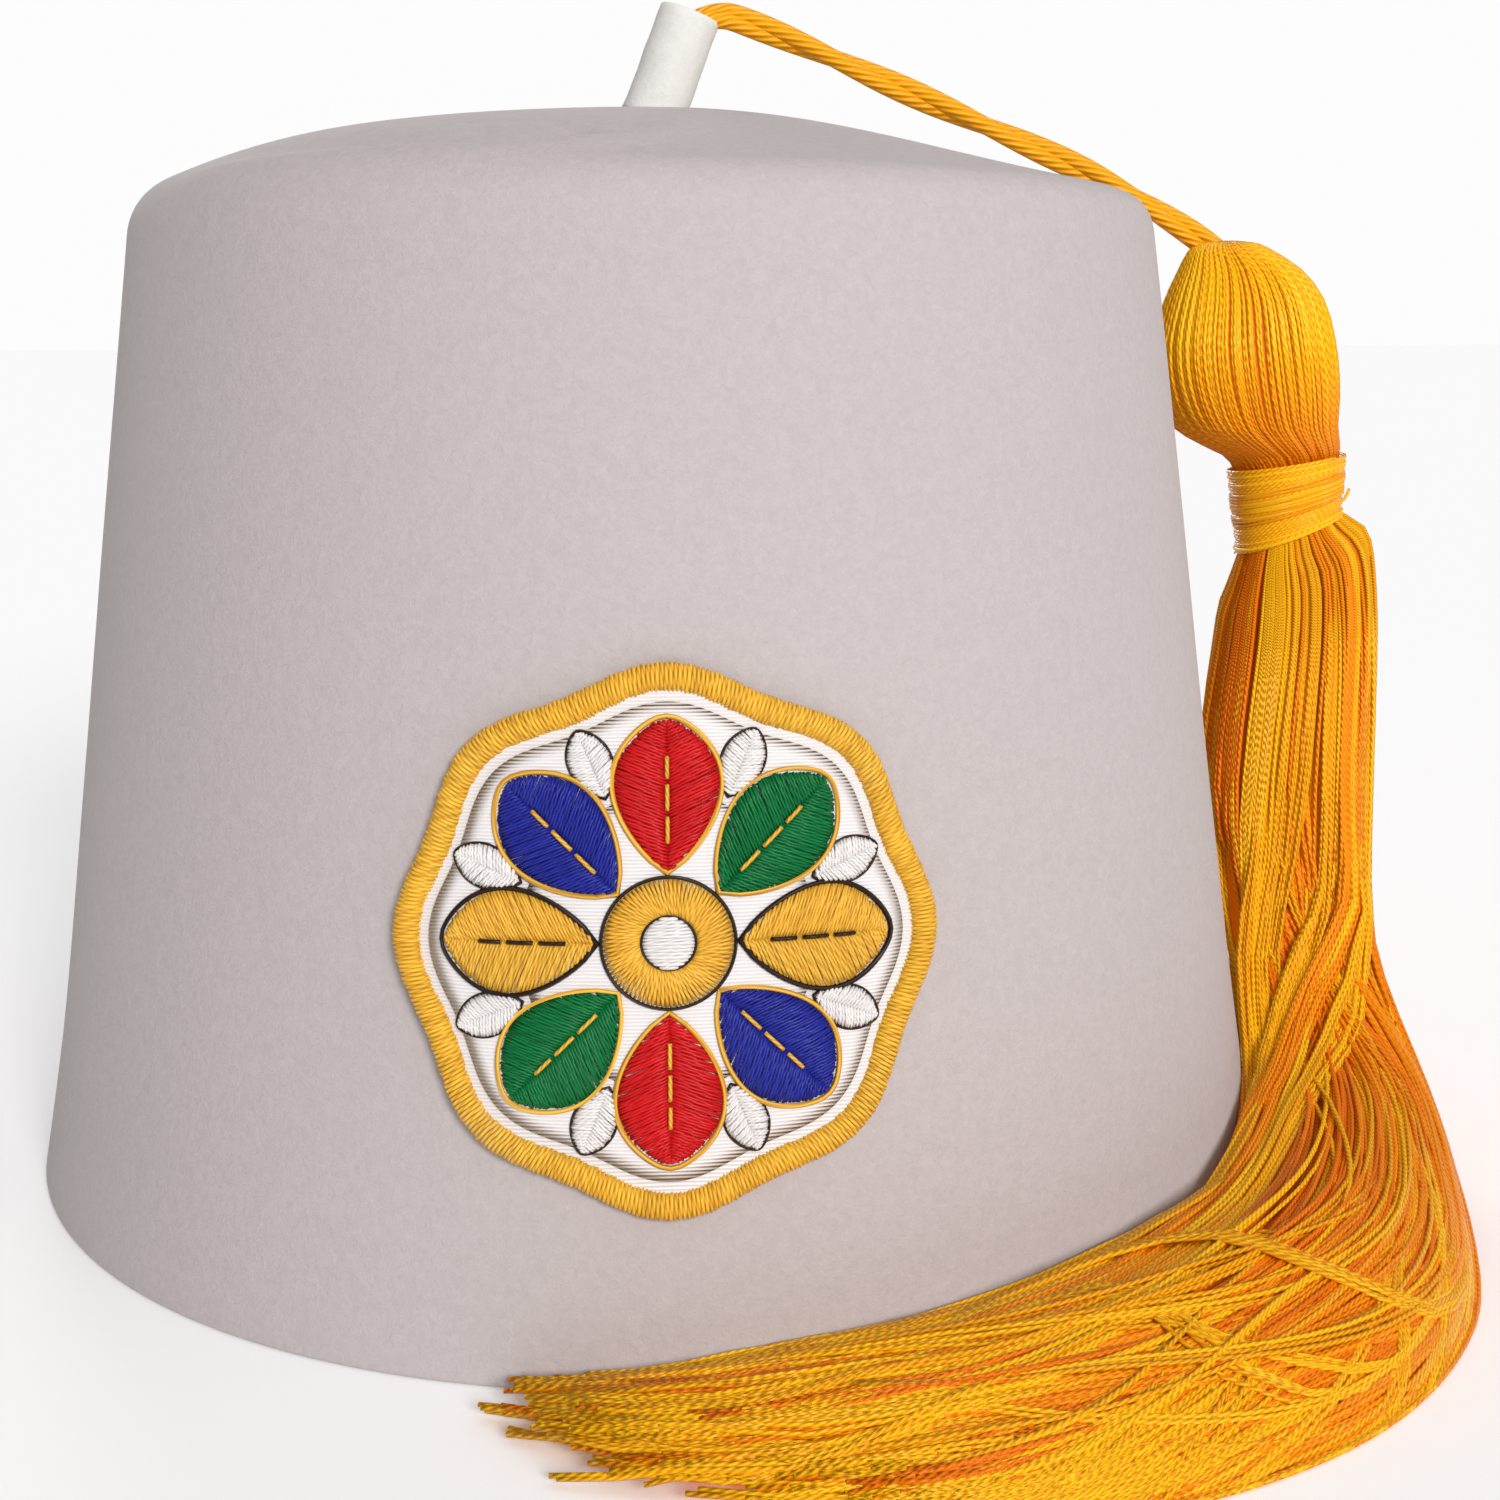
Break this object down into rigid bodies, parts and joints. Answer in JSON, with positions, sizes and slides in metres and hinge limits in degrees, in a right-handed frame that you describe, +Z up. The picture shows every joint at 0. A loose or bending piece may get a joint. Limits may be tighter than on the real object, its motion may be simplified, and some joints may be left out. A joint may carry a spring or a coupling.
{
  "type": "fez hat",
  "caption": "Tall oval felt cap with a domed top, a short stem, a gold cord and tassel falling over the side, and an embroidered rosette in front.",
  "frame": {"origin": "on the surface that the hat stands on, under the middle of the crown", "axes": "+Z up through the top, -Y towards the front with the rosette, +X towards the side where the tassel hangs"},
  "size_m": [0.2074, 0.2268, 0.168],
  "materials": {
    "felt": "matt white wool felt with a fine fibre mottle",
    "stem_felt": "matt off-white wool felt, rolled",
    "embroidery": "satin stitch in red, blue, green, gold and white thread",
    "border_thread": "gold thread, wound over the edge",
    "cord_thread": "twisted gold cord, slightly shiny",
    "tassel_thread": "shiny gold rayon thread",
    "wrap_thread": "shiny gold rayon thread, wound flat"
  },
  "bodies": {
    "root": {"crown": "felt", "stem": "stem_felt", "patch": "embroidery", "patch_border": "border_thread", "cord": "cord_thread", "tassel": "tassel_thread", "neck_wrap": "wrap_thread"}
  },
  "joints": []
}
